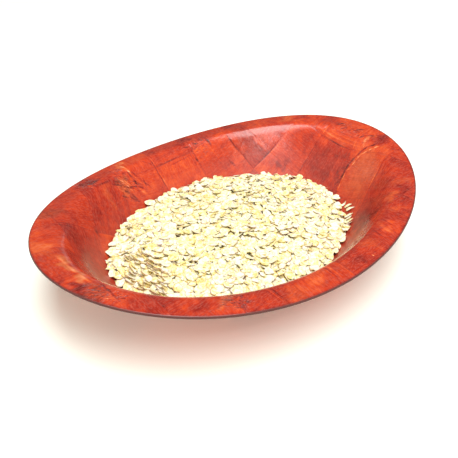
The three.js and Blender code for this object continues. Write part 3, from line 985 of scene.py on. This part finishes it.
wood = {
    "wander": 0.0011,  # how far the lines stray, in metres
    "wanderNoise": (260, 2, 0.5, 0),
    "lineGain": 1.3,  # lines are this much wider and stronger than listed
    "lineLength": 0.62,  # half the length over which a line fades, as a share of its own
    "insideUpTo": 0.3,  # way through the wall at which the inner face ends
    "keepApart": (31, 5.37),  # added to the lengthwise strips' names; distance from name to name
    # noises: scale along the strip and across it, then detail, roughness and distortion
    "streakNoise": (13, 230, 5, 0.62, 0.8),
    "grainNoise": (170, 900, 4, 0.7, 0.4),
    "curlNoise": (260, 70, 3, 0.55, 0.6),
    "fibreNoise": (330, 1000, 3, 0.7, 0.2),
    # noises that run on from strip to strip: scale, detail, roughness and distortion
    "cloudNoise": (42, 5, 0.6, 0.8),
    "blotNoise": (130, 4, 0.65, 1.5),
    "tearShift": (90, 3, 0.6, 0.5),
    "tearNoise": (1, 5, 0.66, 1.6),
    "middle": 0.530,  # the usual tone, which the parts below move up and down
    "parts": {
        "stripTone": 0.160,  # difference from strip to strip
        "cellTone": 0.112,  # and from place to place where a strip comes up
        "cloud": 0.384,
        "streak": 0.384,
        "grain": 0.352,
        "curl": 0.288,
        "blot": 0.288,
    },
    "stainUneven": (0.3, 0.7, 0.55, 1.45),  # blots between the first two make a stain so strong
    "tearWays": ((0.82, -0.57, 0), (0.57, 0.82, 0)),  # along the torn fibres and across them
    "tearScales": (150, 560, 2),
    "crack": (0.46, -13),  # where in the noise a crack starts, and how sharply
    "sliver": (0.55, 11),
    "edgeWidth": 0.7,  # mm, of the lines at the edges of the strips
    "edgeBreaks": (0.35, 3),
    "markTones": {"crack": -0.42, "sliver": 0.26, "edgeLine": -0.20},
    "fibre": (0.66, 0.27, 0.20),  # fine pale fibres
    "fibreShare": (0.45, 0.70, 0, 0.20),  # their noise between the first two shows them so much
    "tones": [
        (0.00, (0.060, 0.006, 0.006)),
        (0.25, (0.220, 0.014, 0.010)),
        (0.42, (0.370, 0.025, 0.012)),
        (0.58, (0.530, 0.042, 0.011)),
        (0.74, (0.660, 0.080, 0.015)),
        (0.92, (0.740, 0.210, 0.070)),
        (1.00, (0.800, 0.400, 0.220)),
    ],
    "tan": (0.52, 0.125, 0.040),
    "tanTones": [(0.2, (0.3, 0.3, 0.3)), (0.6, (1, 1, 1)), (1, (1.5, 1.9, 2.6))],
    "tanCloud": 0.4,
    "cutEdge": 9,  # how suddenly the cut edge begins
    "plyUneven": 0.12,
    "plies": [
        (0.00, (0.07, 0.010, 0.008)), (0.30, (0.10, 0.014, 0.010)), (0.36, (0.02, 0.004, 0.004)),
        (0.42, (0.08, 0.012, 0.008)), (0.62, (0.09, 0.013, 0.008)), (0.68, (0.02, 0.004, 0.004)),
        (0.74, (0.07, 0.010, 0.008)),
    ],
    "lacquer": (0.3, 0.7, 0.10, 0.17),  # clouds between the first two make it so rough
    "rougher": {"torn": 0.08, "dusty": 0.30, "cutEdge": 0.50},
    "bump": (0.6, 0.0005),  # strength, and height in metres
    "heights": {"grain": 0.25, "blot": 0.45, "crack": -0.6, "edgeLine": -0.4, "lines": 0.5},
}


def woodMaterial():
    # veneer strips over and under each other, each with its own grain, stain and tears, lacquered
    material = bpy.data.materials.new("lacqueredVeneer")
    tree, shader = newTree(material)
    place = uvMap(tree, "overWood")
    u, v = split(tree, place)[:2]
    countU, countV = split(tree, uvMap(tree, "strips"))[:2]
    indexU, indexV = calc(tree, "FLOOR", countU), calc(tree, "FLOOR", countV)
    standing = calc(tree, "MODULO", calc(tree, "ADD", indexU, indexV), 2)

    def pick(ifStanding, ifLying):
        # one value where the lengthwise strip is on top and another where the crosswise one is
        difference = calc(tree, "SUBTRACT", ifStanding, ifLying)
        return calc(tree, "MULTIPLY_ADD", difference, standing, ifLying)

    apart, step = wood["keepApart"]
    along, across = pick(v, u), pick(u, v)
    stripName = pick(calc(tree, "ADD", indexU, apart), indexV)

    def stripNoise(alongScale, acrossScale, *settings):
        # noise drawn out along the strip, different on each
        drawnOut = scaled(tree, (along, across, stripName), (alongScale, acrossScale, step))
        return noise(tree, drawnOut, 1, *settings)

    def random(*values):
        # a number that differs from strip to strip
        return addNode(tree, "TexWhiteNoise", join(tree, *values), output="Value")

    streak, grain, curl = (stripNoise(*wood[name]) for name in ("streakNoise", "grainNoise", "curlNoise"))
    cloud, blot = (noise(tree, place, *wood[name]) for name in ("cloudNoise", "blotNoise"))

    # tone: the parts added up around the ramp's middle
    parts = {"stripTone": random(stripName, 3), "cellTone": random(indexU, indexV), "cloud": cloud,
             "streak": streak, "grain": grain, "curl": curl, "blot": blot}
    tone = wood["middle"]
    for name in parts:
        tone = swayed(tree, tone, parts[name], wood["parts"][name])
    uneven = rescale(tree, blot, *wood["stainUneven"])
    tone = calc(tree, "MULTIPLY_ADD", attribute(tree, "stainAndPaintedReflection"), uneven, tone)

    # short cracks and slivers where the grain is torn
    torn = attribute(tree, "torn")
    shift = noise(tree, place, *wood["tearShift"])
    ways = [calcVector(tree, "DOT_PRODUCT", place, way, output=1) for way in wood["tearWays"]]
    tears = noise(tree, scaled(tree, (*ways, shift), wood["tearScales"]), *wood["tearNoise"])
    crack, sliver = (calc(tree, "MULTIPLY", passing(tree, tears, *wood[name]), torn)
                     for name in ("crack", "sliver"))

    # the edges of the strips: faint broken lines
    toEdge = [calc(tree, "ABSOLUTE", calc(tree, "SUBTRACT", count, calc(tree, "ROUND", count)))
              for count in (countU, countV)]
    nearest = calc(tree, "MULTIPLY", calc(tree, "MINIMUM", *toEdge), weave["stripWidth"])
    edgeLine = calc(tree, "SUBTRACT", 1, calc(tree, "DIVIDE", nearest, wood["edgeWidth"]), clamp=True)
    edgeLine = calc(tree, "MULTIPLY", edgeLine, passing(tree, blot, *wood["edgeBreaks"]))
    tone = addUp(tree, tone, {"crack": crack, "sliver": sliver, "edgeLine": edgeLine}, wood["markTones"])

    # the listed lines, some of them painted highlights and a painted shadow, which stray a little with a
    # noise and show on the inner face only
    fine = noise(tree, place, *wood["wanderNoise"], output="Color")
    wander = wood["wander"]
    stray = calcVector(tree, "MULTIPLY_ADD", fine, (wander,) * 3, (-wander / 2, -wander / 2, 0))
    strayedPlace = join(tree, *split(tree, calcVector(tree, "ADD", place, stray))[:2], 0)
    through = attribute(tree, "throughWall")
    lines = 0.0
    for width, darker, *points in cutsAndPaintedLight:
        for start, end in zip(points, points[1:]):
            mask = spindle(tree, strayedPlace, start, end, width * wood["lineGain"])
            lines = calc(tree, "MULTIPLY_ADD", mask, darker * wood["lineGain"], lines)
    lines = calc(tree, "MULTIPLY", lines, calc(tree, "LESS_THAN", through, wood["insideUpTo"]))
    tone = calc(tree, "ADD", tone, lines)

    colour = colours(tree, tone, wood["tones"])
    # the tan share also carries one painted reflection, along the bend at the left end
    tanShare = calc(tree, "MULTIPLY", attribute(tree, "tan"), calc(tree, "ADD", cloud, wood["tanCloud"]))
    tan = calcVector(tree, "MULTIPLY", colours(tree, tone, wood["tanTones"]), wood["tan"])
    colour = mixColours(tree, tanShare, colour, tan)
    fibre = rescale(tree, stripNoise(*wood["fibreNoise"]), *wood["fibreShare"])
    colour = mixColours(tree, fibre, colour, wood["fibre"])

    # the cut edge shows dark plies and glue lines
    fromMiddle = calc(tree, "ABSOLUTE", calc(tree, "SUBTRACT", through, 0.5))
    onEdge = calc(tree, "MULTIPLY", calc(tree, "SUBTRACT", 0.5, fromMiddle), wood["cutEdge"], clamp=True)
    plies = colours(tree, swayed(tree, through, blot, wood["plyUneven"]), wood["plies"])
    feed(tree, shader.inputs["Base Color"], mixColours(tree, onEdge, colour, plies))

    rough = rescale(tree, cloud, *wood["lacquer"])
    rougher = {"torn": torn, "dusty": attribute(tree, "dusty"), "cutEdge": onEdge}
    feed(tree, shader.inputs["Roughness"], addUp(tree, rough, rougher, wood["rougher"]))
    heights = {"grain": grain, "blot": blot, "crack": crack, "edgeLine": edgeLine, "lines": lines}
    bumped(tree, shader, addUp(tree, 0, heights, wood["heights"]), *wood["bump"])
    return material


oats = {
    "tones": [
        (0.10, (0.91, 0.89, 0.76)),
        (0.38, (0.87, 0.81, 0.49)),
        (0.64, (0.83, 0.72, 0.25)),
        (0.90, (0.64, 0.44, 0.15)),
    ],
    "middle": 0.34,  # the usual tone
    "flakeTone": 0.42,  # difference from flake to flake
    "patchTone": 2.3,  # and from patch to patch
    "bran": (0.42, 0.15, 0.06),
    "edge": (0.80, 5),  # where the brown skin starts on the way out, and how suddenly
    "side": (0.93, 5),  # the same for every flake's cut side, brown partly as bran and partly as painted shade in the gaps
    "branny": (0.50, 2),  # which flakes have the skin
    "skinShare": 0.82,
    "speckNoise": (800, 2, 0.5, 0),
    "speck": (0.67, 9),
    "speckShare": 0.7,
    "deep": ((0.44, 0.22, 0.10), (0.66, 0.42, 0.22)),  # painted shade: the core's darkest and lightest, dark brown so that the gaps read as shade
    "patchNoise": (4, 0.6, 0.4),  # detail, roughness and distortion
    "roughNoise": (3, 0.6, 0),
    "scales": {"Patch Scale": 430, "Height Scale": 1700},
    "roughness": 0.7,
    "shine": 0.35,
    "bump": (0.5, 0.0002),  # strength, and height in metres
}


def oatGrain():
    # what the flakes and the core share: patches of tone, and a fine rough height
    group = bpy.data.node_groups.new("oatGrain", "ShaderNodeTree")
    for name, direction, kind in (("Place", "INPUT", "Vector"), ("Patch Scale", "INPUT", "Float"),
                                  ("Height Scale", "INPUT", "Float"), ("Patches", "OUTPUT", "Float"),
                                  ("Height", "OUTPUT", "Float")):
        group.interface.new_socket(name, in_out=direction, socket_type="NodeSocket" + kind)
    given = group.nodes.new("NodeGroupInput").outputs
    patches = noise(group, given["Place"], given["Patch Scale"], *oats["patchNoise"])
    height = noise(group, given["Place"], given["Height Scale"], *oats["roughNoise"])
    feedAll(group, group.nodes.new("NodeGroupOutput"), {"Patches": patches, "Height": height})
    return group


def oatMaterial(name, grainGroup):
    # the part that both oat materials have; gives also the place and the patches of tone
    material = bpy.data.materials.new(name)
    tree, shader = newTree(material)
    place = addNode(tree, "TexCoord", output="Object")
    grain = tree.nodes.new("ShaderNodeGroup")
    grain.node_tree = grainGroup
    feedAll(tree, grain, {"Place": place, **oats["scales"]})
    feedAll(tree, shader, {"Roughness": oats["roughness"], "Specular IOR Level": oats["shine"]})
    bumped(tree, shader, grain.outputs["Height"], *oats["bump"])
    return material, tree, shader, place, grain.outputs["Patches"]


def corePaintedShadeMaterial(grainGroup):
    # painted shade: the core is dark brown, so that where it shows between the flakes it reads as deep shade
    material, tree, shader, _, patches = oatMaterial("oatCorePaintedShade", grainGroup)
    feed(tree, shader.inputs["Base Color"], mixColours(tree, patches, *oats["deep"]))
    return material


def flakeMaterial(grainGroup):
    # cream flakes with straw patches and brown specks; some have a brown skin along the edge, and every cut
    # side is brown, partly as painted shade in the gaps
    material, tree, shader, place, patches = oatMaterial("oatFlake", grainGroup)
    tone = swayed(tree, oats["middle"], attribute(tree, "tone"), oats["flakeTone"])
    colour = colours(tree, swayed(tree, tone, patches, oats["patchTone"]), oats["tones"])
    outward = attribute(tree, "outward")
    edge, side = passing(tree, outward, *oats["edge"]), passing(tree, outward, *oats["side"])
    skin = calc(tree, "MULTIPLY", edge, passing(tree, attribute(tree, "bran"), *oats["branny"]))
    # every flake's cut side is browned: partly bran, partly painted shade in the gaps
    skin = calc(tree, "MAXIMUM", calc(tree, "MULTIPLY", skin, oats["skinShare"]), side)
    speck = passing(tree, noise(tree, place, *oats["speckNoise"]), *oats["speck"])
    share = calc(tree, "MAXIMUM", skin, calc(tree, "MULTIPLY", speck, oats["speckShare"]))
    feed(tree, shader.inputs["Base Color"], mixColours(tree, share, colour, oats["bran"]))
    return material


oatGrainGroup = oatGrain()
bowlPiece.data.materials.append(woodMaterial())
corePiece.data.materials.append(corePaintedShadeMaterial(oatGrainGroup))
oatFlake = flakeMaterial(oatGrainGroup)
for piece in flakePieces:
    piece.data.materials.append(oatFlake)
print("materials made")

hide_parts("bowl")
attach(bowlPiece, "root")
for piece in (corePiece, *flakePieces):
    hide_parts("oats")
    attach(piece, "root")


studio = {
    "floor": (0.88, 0.92, 0.85),
    "floorRadius": 0.9,
    "floorCorners": 96,
    "floorLow": -0.0002,  # just under the bowl's foot
    "floorRoughness": 0.9,
    "floorShine": 0.1,
    "floorPaintedGlow": (0.95, 0.98, 0.86),  # painted light: the floor glows faintly, which lightens the shade under the bowl
    "floorPaintedGlowPower": 0.13,
    "sky": (0.40, 0.41, 0.36),
    "awaySky": (0.14, 0.13, 0.12),  # darker beyond the bowl, where the lip mirrors it
    "below": (1.30, 1.30, 1.30),
    "horizon": (-0.02, 0.03),
    "lowBand": (3.1, 3.1, 2.7),  # a low band of light on the near side
    "near": (-0.85, -0.53, 0),  # the way to the near side
    "bandTop": (0.18, 0.28),
    "bandEnds": (-0.6, -0.1),
    "awayBegins": (-0.2, -0.5),
    # the lamp: bearing in degrees from +Y towards +X, degrees above level, distance, size and power
    "lamp": (-157, 73, 2.0, (1.05, 2.00), 56),
    "lampAim": (0, 0, 0.03),
}


def makeFloor():
    # a round sheet of paper under the bowl, which glows faintly as painted light
    turn = np.linspace(0, 2 * np.pi, studio["floorCorners"], endpoint=False)
    ring = np.stack([np.cos(turn), np.sin(turn)], -1) * studio["floorRadius"]
    points = np.concatenate([ring, [[0, 0]]])
    points = np.concatenate([points, np.full((len(points), 1), studio["floorLow"])], 1)
    sheet = fanFaces(np.arange(len(turn)), len(turn), True)
    floor = makeMesh("floor", points, np.zeros((0, 4), int), sheet)
    material = bpy.data.materials.new("floorPaper")
    tree, shader = newTree(material)
    feedAll(tree, shader, {
        "Base Color": (*studio["floor"], 1),
        "Roughness": studio["floorRoughness"],
        "Specular IOR Level": studio["floorShine"],
        "Emission Color": (*studio["floorPaintedGlow"], 1),
        "Emission Strength": studio["floorPaintedGlowPower"],
    })
    floor.data.materials.append(material)


def makeLamp(turn, height, distance, size, power):
    # a flat lamp that faces the bowl
    turn, height = math.radians(turn), math.radians(height)
    away = np.array([math.sin(turn) * math.cos(height), math.cos(turn) * math.cos(height), math.sin(height)])
    lampData = bpy.data.lights.new("key", "AREA")
    lampData.shape = "RECTANGLE"
    lampData.size, lampData.size_y = size
    lampData.energy = power
    lamp = bpy.data.objects.new("key", lampData)
    lamp.location = away * distance + studio["lampAim"]
    lamp.rotation_euler = (math.pi / 2 - height, 0, math.pi - turn)
    bpy.context.scene.collection.objects.link(lamp)


def makeStudio():
    # a pale sky that is darker on the far side, with a band of light low on the near side
    world = bpy.data.worlds.new("studio")
    world.use_nodes = True
    tree = world.node_tree
    heading = addNode(tree, "TexCoord", output="Generated")
    up = split(tree, heading)[2]
    near = calcVector(tree, "DOT_PRODUCT", heading, studio["near"], output=1)
    band = calc(tree, "MULTIPLY", rescale(tree, up, *studio["bandTop"], 1, 0),
                rescale(tree, near, *studio["bandEnds"], 0, 1))
    away = rescale(tree, near, *studio["awayBegins"], 0, 1)
    sky = mixColours(tree, away, studio["sky"], studio["awaySky"])
    above = mixColours(tree, band, sky, studio["lowBand"])
    colour = mixColours(tree, rescale(tree, up, *studio["horizon"], 0, 1), studio["below"], above)
    feed(tree, tree.nodes["Background"].inputs["Color"], colour)
    bpy.context.scene.world = world
    makeLamp(*studio["lamp"])


makeFloor()
makeStudio()
bpy.context.scene.view_settings.view_transform = "Standard"
print("studio made")
